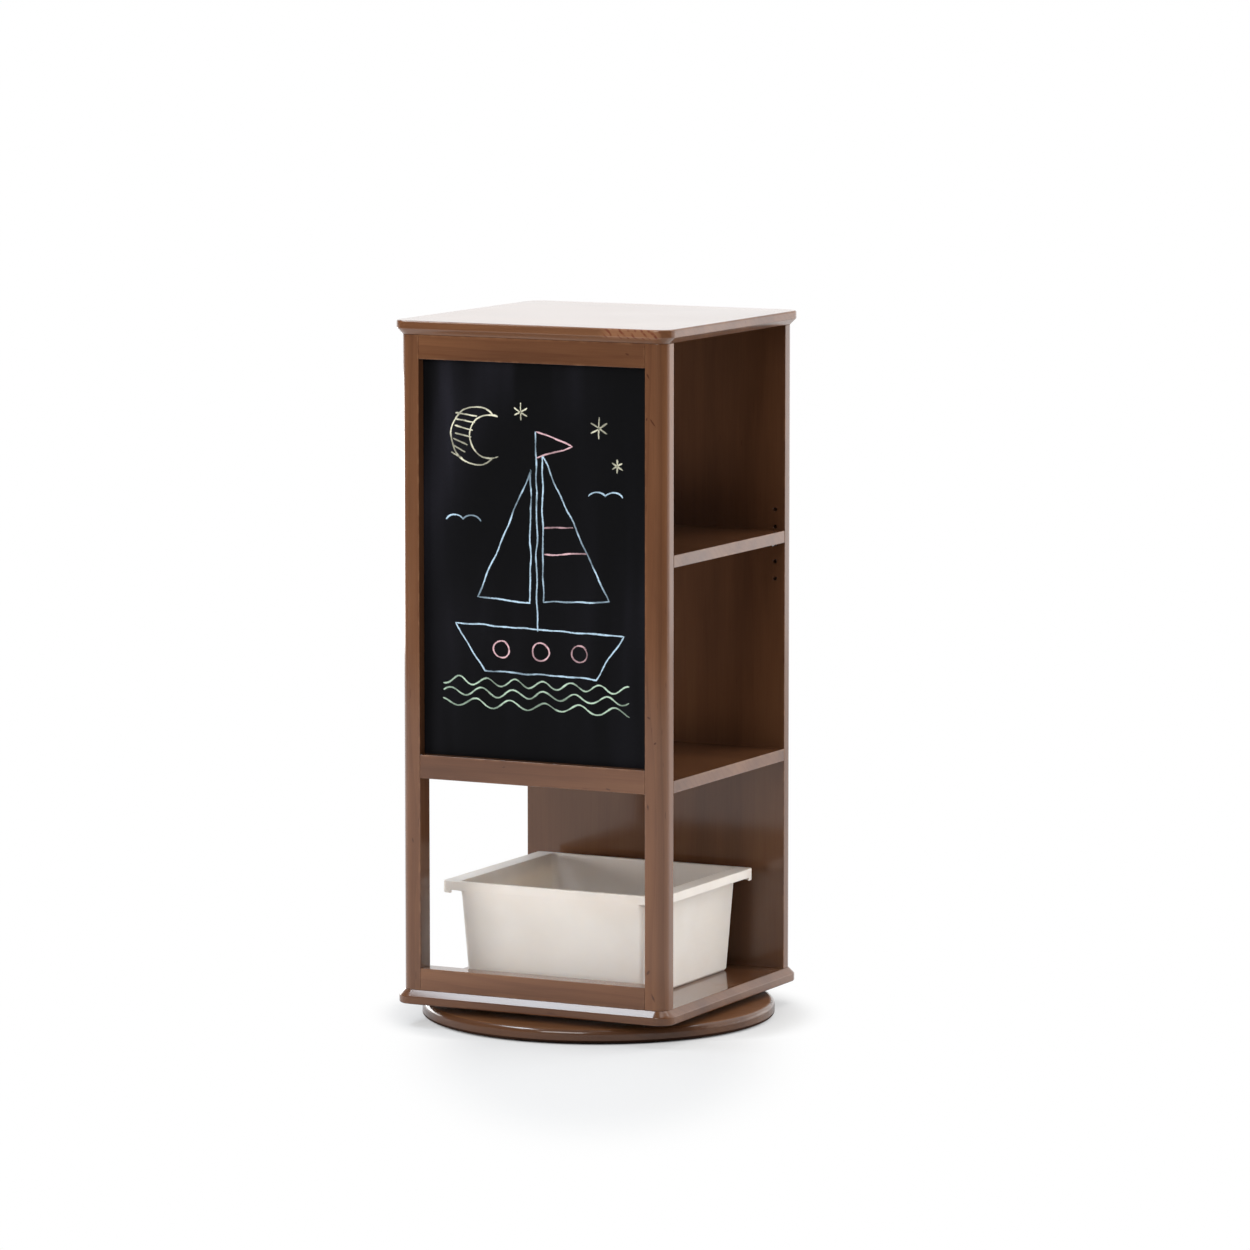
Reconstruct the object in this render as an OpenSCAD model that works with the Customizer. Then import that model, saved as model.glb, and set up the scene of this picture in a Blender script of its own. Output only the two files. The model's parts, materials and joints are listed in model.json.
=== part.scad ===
// Revolving bookcase: a square carcass with a chalkboard front, turning on a round base.
// Millimetres, +Z up. The origin is on the floor under the middle of the base.
// The chalkboard front faces -Y, the open sides face +X and -X.

/* [Carcass] */
// Width of the carcass, between its open sides
case_w = 384; // [340:1:460]
// Depth of the carcass, front face to back face
case_d = 384; // [340:1:460]
// Height of the uprights between the two boards
case_h = 859; // [780:1:1000]
// Radius of the outer upright edges
edge_r = 15; // [8:1:20]
// Thickness of the back panel
back_t = 26; // [20:1:32]

/* [Top and bottom boards] */
// Thickness of a board
board_t = 18.5; // [16:0.5:24]
// How far a board stands out past the carcass
overhang = 8; // [6:1:14]
// Size of the chamfer on the edge that faces the carcass
board_chamfer = 8; // [4:0.5:8]
// Radius of a board's corners, seen from above
board_corner_r = 22; // [16:1:40]
// Radius of the edge that faces away from the carcass
board_edge_r = 2.5; // [1:0.5:4]

/* [Front frame] */
// Thickness of the frame, front to back
frame_t = 26; // [24:0.5:34]
// Width of a stile
stile_w = 28.5; // [26:0.5:40]
// Height of the top rail
top_rail_h = 31.5; // [28:0.5:50]
// Height of the middle rail
middle_rail_h = 31; // [28:0.5:50]
// Height of the bottom rail
bottom_rail_h = 29; // [26:0.5:50]
// Height of the open window in the lower part of the frame
window_h = 251; // [200:1:300]

/* [Chalkboard] */
// How far the writing face lies behind the face of the frame
board_recess = 13.5; // [10:0.5:14]
// Thickness of the writing sheet
sheet_t = 3; // [2:0.5:4]
// Thickness of the backing behind the sheet
backing_t = 6; // [3:0.5:6]
// Depth of the groove that holds both in the frame
groove_depth = 7; // [5:0.5:8]
// Room for the wood to swell at the bottom of the groove
groove_room = 0.5; // [0.2:0.1:1]

/* [Shelves] */
// Thickness of a shelf
shelf_t = 16; // [14:0.5:22]
// Gap at each end of the loose upper shelf
shelf_end_gap = 0.5; // [0.3:0.1:1.5]
// Number of pin hole rows
pin_rows = 5; // [3:1:9]
// Number of free pin hole rows under the upper shelf
rows_under_shelf = 2; // [0:1:2]
// Height of the lowest pin row above the bottom board
first_row_h = 522.5; // [440:0.5:560]
// Distance between pin rows
pin_pitch = 23; // [18:0.5:32]
// Diameter of a shelf pin
pin_d = 4.9; // [4:0.1:6]
// Length of a shelf pin
pin_len = 22; // [18:1:28]
// Depth of a pin hole
pin_hole_depth = 12; // [8:0.5:14]
// Radial clearance of a pin in its hole
pin_fit = 0.05; // [0.02:0.01:0.1]

/* [Base and turntable] */
// Diameter of the base disc
base_d = 466; // [420:1:520]
// Thickness of the base disc
base_t = 18; // [16:0.5:26]
// Radius of the upper edge of the disc
base_top_r = 7; // [3:0.5:9]
// Radius of the lower edge of the disc
base_low_r = 3; // [1:0.5:5]
// Height of a felt pad
pad_h = 2.5; // [2:0.5:5]
// Diameter of a felt pad
pad_d = 34; // [20:1:45]
// Number of felt pads
pad_count = 8; // [4:1:12]
// Distance from the rim of the disc to the edge of a pad
pad_inset = 6; // [4:1:30]
// Diameter of the circle that the balls run on
race_d = 280; // [220:1:320]
// Diameter of a ball
ball_d = 6; // [5:0.5:7]
// Number of balls
ball_count = 36; // [24:1:40]
// Height of a bearing ring
ring_h = 8.5; // [8.5:0.5:12]
// Width of a bearing ring
ring_w = 14; // [13:0.5:20]
// Gap between the two rings
ring_gap = 2.8; // [2.2:0.1:3.4]
// Step between the rings, so that each clears the wood of the other side
ring_step = 1; // [0.6:0.1:2]
// Thickness of the ball cage
cage_t = 1.4; // [1:0.1:1.6]
// Height of the ball cage
cage_h = 7.6; // [7.6:0.1:8]
// Clearance round a ball
ball_fit = 0.15; // [0.05:0.05:0.3]
// Number of screws in a ring
ring_screws = 6; // [4:1:8]
// Distance of these screws from the ball side of a ring
ring_screw_inset = 8.4; // [7:0.1:8.4]

/* [Storage tub] */
// Length of the tub's floor, along X
tub_w = 259; // [200:1:290]
// Depth of the tub's floor, along Y
tub_d = 252; // [200:1:280]
// Height of the tub
tub_h = 138; // [100:1:180]
// How far each wall leans out from floor to rim
tub_flare = 9; // [4:0.5:12]
// Radius of the tub's upright corners at the floor
tub_corner_r = 9; // [6:1:30]
// Radius of the tub's upright corners at the rim
mouth_r = 11; // [6:1:30]
// Radius of the rim's outer corners
rim_r = 6; // [5:0.5:12]
// Wall thickness of the tub
tub_wall = 2.5; // [2:0.1:4]
// Bevel along the tub's lower edge
tub_bevel = 3; // [1:0.5:3]
// Width of the handle flanges at the two ends
flange_w = 21.5; // [15:0.5:28]
// Width of the rim along the two sides
rim_w = 3; // [2.6:0.1:8]
// Height of the skirt that hangs from the rim
skirt_h = 12; // [8:0.5:18]
// How much lower the skirt reaches at its corners
skirt_foot = 4; // [2:0.5:6]
// Length of the lower stretch at each corner
skirt_foot_len = 12; // [8:1:30]
// Height of the stretch below the skirt where the two long walls swell out to meet it
swell_h = 30; // [15:1:50]

/* [Fasteners] */
// Diameter of a frame dowel
frame_dowel_d = 6; // [5:0.5:6]
// Length of a frame dowel
frame_dowel_len = 40; // [30:1:44]
// Distance between the two dowels of a frame joint
frame_dowel_gap = 12; // [10:0.5:12]
// Distance of the frame dowels from the face of the frame
frame_dowel_inset = 9; // [7:0.5:9]
// Diameter of a case or shelf dowel
case_dowel_d = 8; // [6:0.5:8]
// Length of a case or shelf dowel
case_dowel_len = 30; // [26:1:32]
// Depth of a case dowel in the board
board_dowel_depth = 12; // [8:0.5:13]
// Distance of the shelf dowels from the open sides
shelf_dowel_inset = 82; // [50:1:130]
// Distance of the rail dowels from the middle of the front
rail_dowel_x = 82; // [50:1:100]
// Distance of the outer panel dowels and screws from the middle of the back
panel_joint_x = 128; // [90:1:145]
// Wood left behind the dowel or screw at the end of a stile
stile_joint_wall = 3; // [2:0.5:3]
// Bevel at the ends of a dowel or a pin
dowel_bevel = 0.8; // [0.4:0.1:1.2]
// Radial clearance of dowels and screws in their holes
fastener_fit = 0.1; // [0.05:0.05:0.3]
// Width of a screw head, in shank diameters
head_ratio = 1.9; // [1.7:0.05:1.9]
// Length of the cross recess in a screw head, in shank diameters
recess_ratio = 1.1; // [0.8:0.05:1.3]
// Width of that recess, in shank diameters
slot_ratio = 0.25; // [0.15:0.05:0.3]
// Depth of that recess, in shank diameters
depth_ratio = 0.4; // [0.2:0.05:0.5]
// Diameter of a case screw
case_screw_d = 5; // [4:0.5:6]
// Length of a case screw
case_screw_len = 50; // [40:1:60]
// Diameter of a ring screw
ring_screw_d = 4; // [3:0.5:4.5]
// How far an inner ring screw reaches into the bottom board
ring_screw_bite = 11; // [8:0.5:14]
// How far an outer ring screw reaches into its ring
ring_screw_grip = 6; // [4:0.5:7]

/* [Hidden] */
$fn = 64;
large_fn = 180;
hull_fn = 32;
cut = 1;
thin = 0.01;
wood = [0.42, 0.28, 0.19];
wood_inside = [0.36, 0.24, 0.16];
pale_wood = [0.76, 0.62, 0.44];
slate = [0.09, 0.09, 0.1];
steel = [0.72, 0.73, 0.75];
aluminium = [0.8, 0.81, 0.82];
nylon = [0.85, 0.84, 0.78];
felt = [0.2, 0.19, 0.18];
ivory = [0.93, 0.91, 0.87];

// Levels, from the floor up
base_z = pad_h;
base_top = base_z + base_t;
board_z = base_top + ring_h + ring_step;
floor_z = board_z + board_t;
case_top = floor_z + case_h;
window_z = floor_z + bottom_rail_h;
middle_rail_z = window_z + window_h;
slate_z = middle_rail_z + middle_rail_h;
top_rail_z = case_top - top_rail_h;
ball_z = base_top + (ring_h + ring_step) / 2;

// Faces of the carcass
front_y = -case_d / 2;
frame_back_y = front_y + frame_t;
back_y = case_d / 2;
back_inner_y = back_y - back_t;
stile_inner_x = case_w / 2 - stile_w;
opening_w = 2 * stile_inner_x;
sheet_y = front_y + board_recess;
panel_t = sheet_t + backing_t;
panel_grip = groove_depth - groove_room;

// Shelves and their pins
lower_shelf_z = middle_rail_z;
pin_x = case_w / 2 - stile_w / 2;
function row_z(i) = floor_z + first_row_h + i * pin_pitch;
pin_z = row_z(rows_under_shelf);
upper_shelf_z = pin_z + pin_d / 2 + pin_fit;
shelf_dowel_z = lower_shelf_z + shelf_t / 2;
shelf_dowel_x = case_w / 2 - shelf_dowel_inset;

// Frame joints: rail dowels sit clear of the panel groove
frame_dowel_y = front_y + frame_dowel_inset;
frame_joint_z = [
    (floor_z + window_z) / 2,
    middle_rail_z + (middle_rail_h - groove_depth) / 2,
    top_rail_z + (top_rail_h + groove_depth) / 2
];

// Case joints, as [x, y] places seen from above
stile_joint = [pin_x, frame_back_y - case_dowel_d / 2 - stile_joint_wall];
rail_joint = [rail_dowel_x, front_y + frame_t / 2];
panel_joint_y = back_y - back_t / 2;
top_dowels = concat(
    [for (s = [-1, 1]) [s * stile_joint.x, stile_joint.y]],
    [for (s = [-1, 1]) [s * rail_joint.x, rail_joint.y]],
    [for (s = [-1, 0, 1]) [s * panel_joint_x, panel_joint_y]]
);
low_dowels = concat(
    [for (s = [-1, 1]) [s * rail_joint.x, rail_joint.y]],
    [for (s = [-1, 1]) [s * panel_joint_x / 2, panel_joint_y]]
);
low_screws = concat(
    [for (s = [-1, 1]) [s * stile_joint.x, stile_joint.y]],
    [for (s = [-1, 0, 1]) [s * panel_joint_x, panel_joint_y]]
);

// Turntable
race_r = race_d / 2;
outer_ring_in = race_r + ring_gap / 2;
inner_ring_out = race_r - ring_gap / 2;
outer_screw_r = outer_ring_in + ring_screw_inset;
inner_screw_r = inner_ring_out - ring_screw_inset;
outer_ring_z = base_top;
inner_ring_z = board_z - ring_h;
pad_r = base_d / 2 - base_low_r - pad_inset - pad_d / 2;

// Tub
tub_slope = tub_flare / tub_h;
skirt_z = tub_h - skirt_h - skirt_foot;
rim_len = tub_w + 2 * tub_flare + 2 * flange_w;
rim_depth = tub_d + 2 * tub_flare + 2 * rim_w;

// Shared shapes

// A rectangle with round corners, about the origin
module round_rect(w, d, r) {
    square([w, d - 2 * r], center = true);
    square([w - 2 * r, d], center = true);
    for (x = [-1, 1], y = [-1, 1])
        translate([x * (w / 2 - r), y * (d / 2 - r)]) circle(r);
}

// A quarter disc that rounds the corner at +X, -Y of a bar
module round_corner(r) {
    intersection() {
        circle(r);
        translate([0, -r]) square(r);
    }
}

// The profile of a board out to its edge: a chamfer below and a round above
module board_profile(reach) {
    c = board_chamfer;
    r = board_edge_r;
    polygon([
        [0, 0], [reach - c, 0], [reach, c], [reach, board_t - r],
        [reach - r, board_t], [0, board_t]
    ]);
    translate([reach - r, board_t - r]) circle(r);
}

// A board with round corners and that profile on all four sides
module moulded_board() {
    w = case_w + 2 * overhang;
    d = case_d + 2 * overhang;
    r = board_corner_r;
    module bar(len, side) {
        rotate([90, 0, 90]) linear_extrude(len, center = true)
            for (m = [0, 1]) mirror([m, 0]) board_profile(side / 2);
    }
    bar(w - 2 * r, d);
    rotate(90) bar(d - 2 * r, w);
    for (x = [0, 1], y = [0, 1]) mirror([x, 0]) mirror([0, y])
        translate([w / 2 - r, d / 2 - r]) rotate_extrude(angle = 90) board_profile(r);
}

// A dowel with bevelled ends, along +Z from the origin
module dowel(d, len) {
    bevel = dowel_bevel;
    rotate_extrude()
        polygon([
            [0, 0], [d / 2 - bevel, 0], [d / 2, bevel],
            [d / 2, len - bevel], [d / 2 - bevel, len], [0, len]
        ]);
}

// The hole for a fastener, along +Z, open at the origin
module hole(d, depth, fit = fastener_fit) {
    translate([0, 0, -cut]) cylinder(d = d + 2 * fit, h = depth + cut);
}

// A countersunk cross-head screw, head at the origin, shank along +Z
module screw(d, len) {
    head_r = d * head_ratio / 2;
    difference() {
        rotate_extrude()
            polygon([
                [0, 0], [head_r, 0], [d / 2, head_r - d / 2],
                [d / 2, len - d / 2], [0, len]
            ]);
        for (turn = [0, 90]) rotate(turn)
            cube([d * recess_ratio, d * slot_ratio, 2 * d * depth_ratio], center = true);
    }
}

// The countersunk hole that takes such a screw
module screw_hole(d, len) {
    head_r = d * head_ratio / 2;
    fit = fastener_fit;
    rotate_extrude()
        polygon([
            [0, -cut], [head_r + fit, -cut], [head_r + fit, 0],
            [d / 2 + fit, head_r - d / 2], [d / 2 + fit, len + fit], [0, len + fit]
        ]);
}

// Copies of a shape on a circle about the turning axis
module around(count, r) {
    for (i = [0:count - 1]) rotate(i * 360 / count) translate([r, 0]) children();
}

// Base

module base_disc() {
    r = base_d / 2;
    color(wood) difference() {
        translate([0, 0, base_z]) rotate_extrude($fn = large_fn) {
            square([r - base_top_r, base_t]);
            translate([0, base_low_r]) square([r, base_t - base_top_r - base_low_r]);
            square([r - base_low_r, base_low_r]);
            translate([r - base_low_r, base_low_r]) circle(base_low_r);
            translate([r - base_top_r, base_t - base_top_r]) circle(base_top_r);
        }
        translate([0, 0, base_z]) around(ring_screws, outer_screw_r)
            screw_hole(ring_screw_d, base_t + cut);
    }
}

module floor_pads() {
    color(felt) around(pad_count, pad_r) cylinder(d = pad_d, h = pad_h);
}

module bearing_outer_ring() {
    color(aluminium) difference() {
        translate([0, 0, outer_ring_z]) rotate_extrude($fn = large_fn) difference() {
            translate([outer_ring_in, 0]) square([ring_w, ring_h]);
            translate([race_r, ball_z - outer_ring_z]) circle(d = ball_d + 2 * ball_fit);
        }
        translate([0, 0, outer_ring_z]) around(ring_screws, outer_screw_r)
            hole(ring_screw_d, ring_screw_grip + fastener_fit);
    }
}

module outer_ring_screws() {
    color(steel) translate([0, 0, base_z]) around(ring_screws, outer_screw_r)
        screw(ring_screw_d, base_t + ring_screw_grip);
}

module bearing_balls() {
    color(steel) translate([0, 0, ball_z]) around(ball_count, race_r) sphere(d = ball_d);
}

module ball_cage() {
    color(nylon) translate([0, 0, ball_z]) difference() {
        rotate_extrude($fn = large_fn)
            translate([race_r - cage_t / 2, -cage_h / 2]) square([cage_t, cage_h]);
        around(ball_count, race_r) rotate([0, 90, 0])
            cylinder(d = ball_d + 2 * ball_fit, h = cage_t + 2 * cut, center = true);
    }
}

module bearing_inner_ring() {
    color(aluminium) difference() {
        translate([0, 0, inner_ring_z]) rotate_extrude($fn = large_fn) difference() {
            translate([inner_ring_out - ring_w, 0]) square([ring_w, ring_h]);
            translate([race_r, ball_z - inner_ring_z]) circle(d = ball_d + 2 * ball_fit);
        }
        translate([0, 0, inner_ring_z]) around(ring_screws, inner_screw_r)
            screw_hole(ring_screw_d, ring_h + cut);
    }
}

module inner_ring_screws() {
    color(steel) translate([0, 0, inner_ring_z]) around(ring_screws, inner_screw_r)
        screw(ring_screw_d, ring_h + ring_screw_bite);
}

// Carcass boards

module bottom_board() {
    color(wood) difference() {
        translate([0, 0, floor_z]) mirror([0, 0, 1]) moulded_board();
        for (p = low_dowels) translate([p.x, p.y, floor_z]) mirror([0, 0, 1])
            hole(case_dowel_d, board_dowel_depth);
        for (p = low_screws) translate([p.x, p.y, board_z])
            screw_hole(case_screw_d, board_t + cut);
        translate([0, 0, board_z]) around(ring_screws, inner_screw_r)
            hole(ring_screw_d, ring_screw_bite + fastener_fit);
    }
}

module top_board() {
    color(wood) difference() {
        translate([0, 0, case_top]) moulded_board();
        for (p = top_dowels) translate([p.x, p.y, case_top])
            hole(case_dowel_d, board_dowel_depth);
    }
}

// Front frame

// Places of the frame dowels at one rail, along the inner face of a stile
module rail_dowels(joint_z) {
    for (s = [-1, 1])
        translate([0, frame_dowel_y, joint_z + s * frame_dowel_gap / 2]) children();
}

module front_right_stile() {
    color(wood) difference() {
        translate([case_w / 2 - stile_w, front_y, floor_z]) linear_extrude(case_h) {
            square([stile_w - edge_r, frame_t]);
            translate([0, edge_r]) square([stile_w, frame_t - edge_r]);
            translate([stile_w - edge_r, edge_r]) round_corner(edge_r);
        }
        translate([stile_inner_x - cut, sheet_y, slate_z - groove_depth])
            cube([groove_depth + cut, panel_t, top_rail_z - slate_z + 2 * groove_depth]);
        for (z = frame_joint_z) translate([stile_inner_x, 0, 0]) rail_dowels(z)
            rotate([0, 90, 0]) hole(frame_dowel_d, frame_dowel_len / 2 + fastener_fit);
        for (i = [0:pin_rows - 1]) translate([pin_x, frame_back_y, row_z(i)])
            rotate([90, 0, 0]) hole(pin_d, pin_hole_depth, pin_fit);
        translate([stile_joint.x, stile_joint.y, case_top]) mirror([0, 0, 1])
            hole(case_dowel_d, case_dowel_len - board_dowel_depth);
        translate([stile_joint.x, stile_joint.y, floor_z])
            hole(case_screw_d, case_screw_len - board_t);
    }
}

module front_left_stile() {
    mirror([1, 0, 0]) front_right_stile();
}

// A rail between the stiles, with holes for its frame dowels
module rail(z, h, joint_z) {
    difference() {
        translate([-opening_w / 2, front_y, z]) cube([opening_w, frame_t, h]);
        for (m = [0, 1]) mirror([m, 0, 0]) translate([stile_inner_x, 0, 0])
            rail_dowels(joint_z) rotate([0, -90, 0])
                hole(frame_dowel_d, frame_dowel_len / 2 + fastener_fit);
    }
}

// The groove for the panel, along a rail
module rail_groove(low, high) {
    translate([-opening_w / 2 - cut, sheet_y, low])
        cube([opening_w + 2 * cut, panel_t, high - low]);
}

module front_top_rail() {
    color(wood) difference() {
        rail(top_rail_z, top_rail_h, frame_joint_z[2]);
        rail_groove(top_rail_z - cut, top_rail_z + groove_depth);
        for (s = [-1, 1]) translate([s * rail_joint.x, rail_joint.y, case_top])
            mirror([0, 0, 1]) hole(case_dowel_d, case_dowel_len - board_dowel_depth);
    }
}

module front_middle_rail() {
    color(wood) difference() {
        rail(middle_rail_z, middle_rail_h, frame_joint_z[1]);
        rail_groove(slate_z - groove_depth, slate_z + cut);
        for (s = [-1, 1]) translate([s * shelf_dowel_x, frame_back_y, shelf_dowel_z])
            rotate([90, 0, 0]) hole(case_dowel_d, case_dowel_len / 2);
    }
}

module front_bottom_rail() {
    color(wood) difference() {
        rail(floor_z, bottom_rail_h, frame_joint_z[0]);
        for (s = [-1, 1]) translate([s * rail_joint.x, rail_joint.y, floor_z])
            hole(case_dowel_d, case_dowel_len - board_dowel_depth);
    }
}

module frame_dowels() {
    color(pale_wood) for (m = [0, 1], z = frame_joint_z) mirror([m, 0, 0])
        translate([stile_inner_x - frame_dowel_len / 2, 0, 0]) rail_dowels(z)
            rotate([0, 90, 0]) dowel(frame_dowel_d, frame_dowel_len);
}

// A panel held in the groove of the frame
module framed_panel(y, t) {
    translate([-opening_w / 2 - panel_grip, y, slate_z - panel_grip])
        cube([opening_w + 2 * panel_grip, t, top_rail_z - slate_z + 2 * panel_grip]);
}

module chalkboard() {
    color(slate) framed_panel(sheet_y, sheet_t);
}

module chalkboard_backing() {
    color(wood_inside) framed_panel(sheet_y + sheet_t, backing_t);
}

// Back panel

module back_panel() {
    color(wood_inside) difference() {
        translate([0, back_inner_y, floor_z]) linear_extrude(case_h) {
            translate([-case_w / 2, 0]) square([case_w, back_t - edge_r]);
            translate([-case_w / 2 + edge_r, 0]) square([case_w - 2 * edge_r, back_t]);
            for (m = [0, 1]) mirror([m, 0])
                translate([case_w / 2 - edge_r, back_t - edge_r])
                    mirror([0, 1]) round_corner(edge_r);
        }
        for (s = [-1, 1], i = [0:pin_rows - 1])
            translate([s * pin_x, back_inner_y, row_z(i)])
                rotate([-90, 0, 0]) hole(pin_d, pin_hole_depth, pin_fit);
        for (s = [-1, 1]) translate([s * shelf_dowel_x, back_inner_y, shelf_dowel_z])
            rotate([-90, 0, 0]) hole(case_dowel_d, case_dowel_len / 2);
        for (s = [-1, 0, 1]) translate([s * panel_joint_x, panel_joint_y, case_top])
            mirror([0, 0, 1]) hole(case_dowel_d, case_dowel_len - board_dowel_depth);
        for (s = [-1, 1]) translate([s * panel_joint_x / 2, panel_joint_y, floor_z])
            hole(case_dowel_d, case_dowel_len - board_dowel_depth);
        for (s = [-1, 0, 1]) translate([s * panel_joint_x, panel_joint_y, floor_z])
            hole(case_screw_d, case_screw_len - board_t);
    }
}

// Shelves

module lower_shelf() {
    color(wood) difference() {
        translate([-case_w / 2, frame_back_y, lower_shelf_z])
            cube([case_w, back_inner_y - frame_back_y, shelf_t]);
        for (s = [-1, 1]) {
            translate([s * shelf_dowel_x, frame_back_y, shelf_dowel_z])
                rotate([-90, 0, 0]) hole(case_dowel_d, case_dowel_len / 2);
            translate([s * shelf_dowel_x, back_inner_y, shelf_dowel_z])
                rotate([90, 0, 0]) hole(case_dowel_d, case_dowel_len / 2);
        }
    }
}

module shelf_dowels() {
    color(pale_wood) for (s = [-1, 1], y = [frame_back_y, back_inner_y])
        translate([s * shelf_dowel_x, y - case_dowel_len / 2, shelf_dowel_z])
            rotate([-90, 0, 0]) dowel(case_dowel_d, case_dowel_len);
}

module upper_shelf() {
    gap = shelf_end_gap;
    color(wood) translate([-case_w / 2, frame_back_y + gap, upper_shelf_z])
        cube([case_w, back_inner_y - frame_back_y - 2 * gap, shelf_t]);
}

module shelf_pins() {
    depth = pin_hole_depth - fastener_fit;
    color(steel) for (s = [-1, 1]) {
        translate([s * pin_x, frame_back_y - depth, pin_z])
            rotate([-90, 0, 0]) dowel(pin_d, pin_len);
        translate([s * pin_x, back_inner_y + depth, pin_z])
            rotate([90, 0, 0]) dowel(pin_d, pin_len);
    }
}

// Case fasteners

module case_dowels() {
    color(pale_wood) {
        for (p = top_dowels)
            translate([p.x, p.y, case_top + board_dowel_depth - case_dowel_len])
                dowel(case_dowel_d, case_dowel_len);
        for (p = low_dowels)
            translate([p.x, p.y, floor_z - board_dowel_depth])
                dowel(case_dowel_d, case_dowel_len);
    }
}

module case_screws() {
    color(steel) for (p = low_screws) translate([p.x, p.y, board_z])
        screw(case_screw_d, case_screw_len);
}

// Storage tub

// A tapered block of the tub's outline, drawn in by an inset, with its lower edge bevelled
module tub_block(inset, low, high) {
    module slice(h, draw) {
        grow = 2 * (tub_slope * h - draw);
        r = tub_corner_r + (mouth_r - tub_corner_r) * h / tub_h - draw;
        translate([0, 0, h]) linear_extrude(thin)
            round_rect(tub_w + grow, tub_d + grow, r, $fn = hull_fn);
    }
    hull() {
        slice(low, inset + tub_bevel);
        slice(low + tub_bevel, inset);
        slice(high - thin, inset);
    }
}

// The swell of the two long walls, from inside a wall out to the face of the skirt
module swell() {
    module slice(h, depth) {
        translate([0, 0, h]) linear_extrude(thin)
            round_rect(tub_w + 2 * tub_slope * h - tub_wall, depth, mouth_r, $fn = hull_fn);
    }
    high = tub_h - skirt_h;
    low = high - swell_h;
    hull() {
        slice(low, tub_d + 2 * tub_slope * low - tub_wall / 2);
        slice(high - thin, rim_depth);
    }
}

// The rim's outline, open inside for the hollow handle flanges
module skirt_outline() {
    difference() {
        round_rect(rim_len, rim_depth, rim_r);
        round_rect(rim_len - 2 * tub_wall, tub_d + 2 * tub_slope * skirt_z, rim_r - tub_wall);
    }
}

// The skirt under the rim, which reaches lower at its corners
module skirt() {
    difference() {
        translate([0, 0, skirt_z]) linear_extrude(skirt_h + skirt_foot) skirt_outline();
        translate([0, 0, skirt_z + (skirt_foot - cut) / 2]) {
            cube([rim_len - 2 * skirt_foot_len, rim_depth + cut, skirt_foot + cut], center = true);
            cube([rim_len + cut, rim_depth - 2 * skirt_foot_len, skirt_foot + cut], center = true);
        }
    }
}

module storage_tub() {
    color(ivory) translate([0, 0, floor_z]) difference() {
        union() {
            tub_block(0, 0, tub_h);
            swell();
            skirt();
            translate([0, 0, tub_h - tub_wall]) linear_extrude(tub_wall)
                round_rect(rim_len, rim_depth, rim_r);
        }
        tub_block(tub_wall, tub_wall, tub_h + cut);
    }
}

base_disc();
floor_pads();
bearing_outer_ring();
outer_ring_screws();
bearing_balls();
ball_cage();
bearing_inner_ring();
inner_ring_screws();
bottom_board();
front_left_stile();
front_right_stile();
front_top_rail();
front_middle_rail();
front_bottom_rail();
frame_dowels();
chalkboard();
chalkboard_backing();
back_panel();
lower_shelf();
shelf_dowels();
upper_shelf();
shelf_pins();
top_board();
case_dowels();
case_screws();
storage_tub();
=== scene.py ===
"""Looks of the revolving bookcase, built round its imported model.

Metres, +Z up. The chalkboard front faces -Y and the open sides face +X and -X.
"""

import json
import math

import bmesh
import bpy
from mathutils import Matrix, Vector, noise

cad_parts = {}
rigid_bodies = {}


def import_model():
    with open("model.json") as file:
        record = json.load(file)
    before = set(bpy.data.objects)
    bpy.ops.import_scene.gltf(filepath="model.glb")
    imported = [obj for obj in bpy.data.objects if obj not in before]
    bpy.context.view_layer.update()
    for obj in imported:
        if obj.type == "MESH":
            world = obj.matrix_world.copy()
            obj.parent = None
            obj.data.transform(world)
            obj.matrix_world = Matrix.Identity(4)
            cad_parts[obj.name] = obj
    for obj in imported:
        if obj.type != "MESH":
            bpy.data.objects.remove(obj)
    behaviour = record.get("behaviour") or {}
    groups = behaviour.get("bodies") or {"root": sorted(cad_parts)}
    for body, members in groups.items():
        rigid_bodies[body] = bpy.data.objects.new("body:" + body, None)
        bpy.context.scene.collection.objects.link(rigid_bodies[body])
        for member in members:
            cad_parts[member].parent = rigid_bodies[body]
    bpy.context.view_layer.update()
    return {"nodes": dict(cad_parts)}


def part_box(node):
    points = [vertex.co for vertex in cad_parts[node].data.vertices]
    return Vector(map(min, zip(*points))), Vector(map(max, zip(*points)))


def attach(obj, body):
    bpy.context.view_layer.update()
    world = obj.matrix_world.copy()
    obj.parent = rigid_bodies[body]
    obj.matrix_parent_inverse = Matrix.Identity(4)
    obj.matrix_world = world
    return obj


for leftover in list(bpy.data.objects):
    bpy.data.objects.remove(leftover)

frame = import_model()
scene = bpy.context.scene
scene.view_settings.view_transform = "Standard"


# Camera, fitted to the edges of the carcass in the photograph. Angles are in degrees, and the
# lens and the sensor in millimetres.

CAMERA_PLACE = (3.869, -7.635, 1.567)
CAMERA_TURN = 26.64
CAMERA_DROP = 6.99
CAMERA_LENS = 188.99
CAMERA_SENSOR = 36.0
CAMERA_REACH = 200.0


def make_camera():
    data = bpy.data.cameras.new("camera")
    data.sensor_width = CAMERA_SENSOR
    data.lens = CAMERA_LENS
    data.clip_end = CAMERA_REACH
    camera = bpy.data.objects.new("camera", data)
    camera.location = CAMERA_PLACE
    camera.rotation_euler = (math.radians(90 - CAMERA_DROP), 0, math.radians(CAMERA_TURN))
    scene.collection.objects.link(camera)
    scene.camera = camera


# Colours


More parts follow.
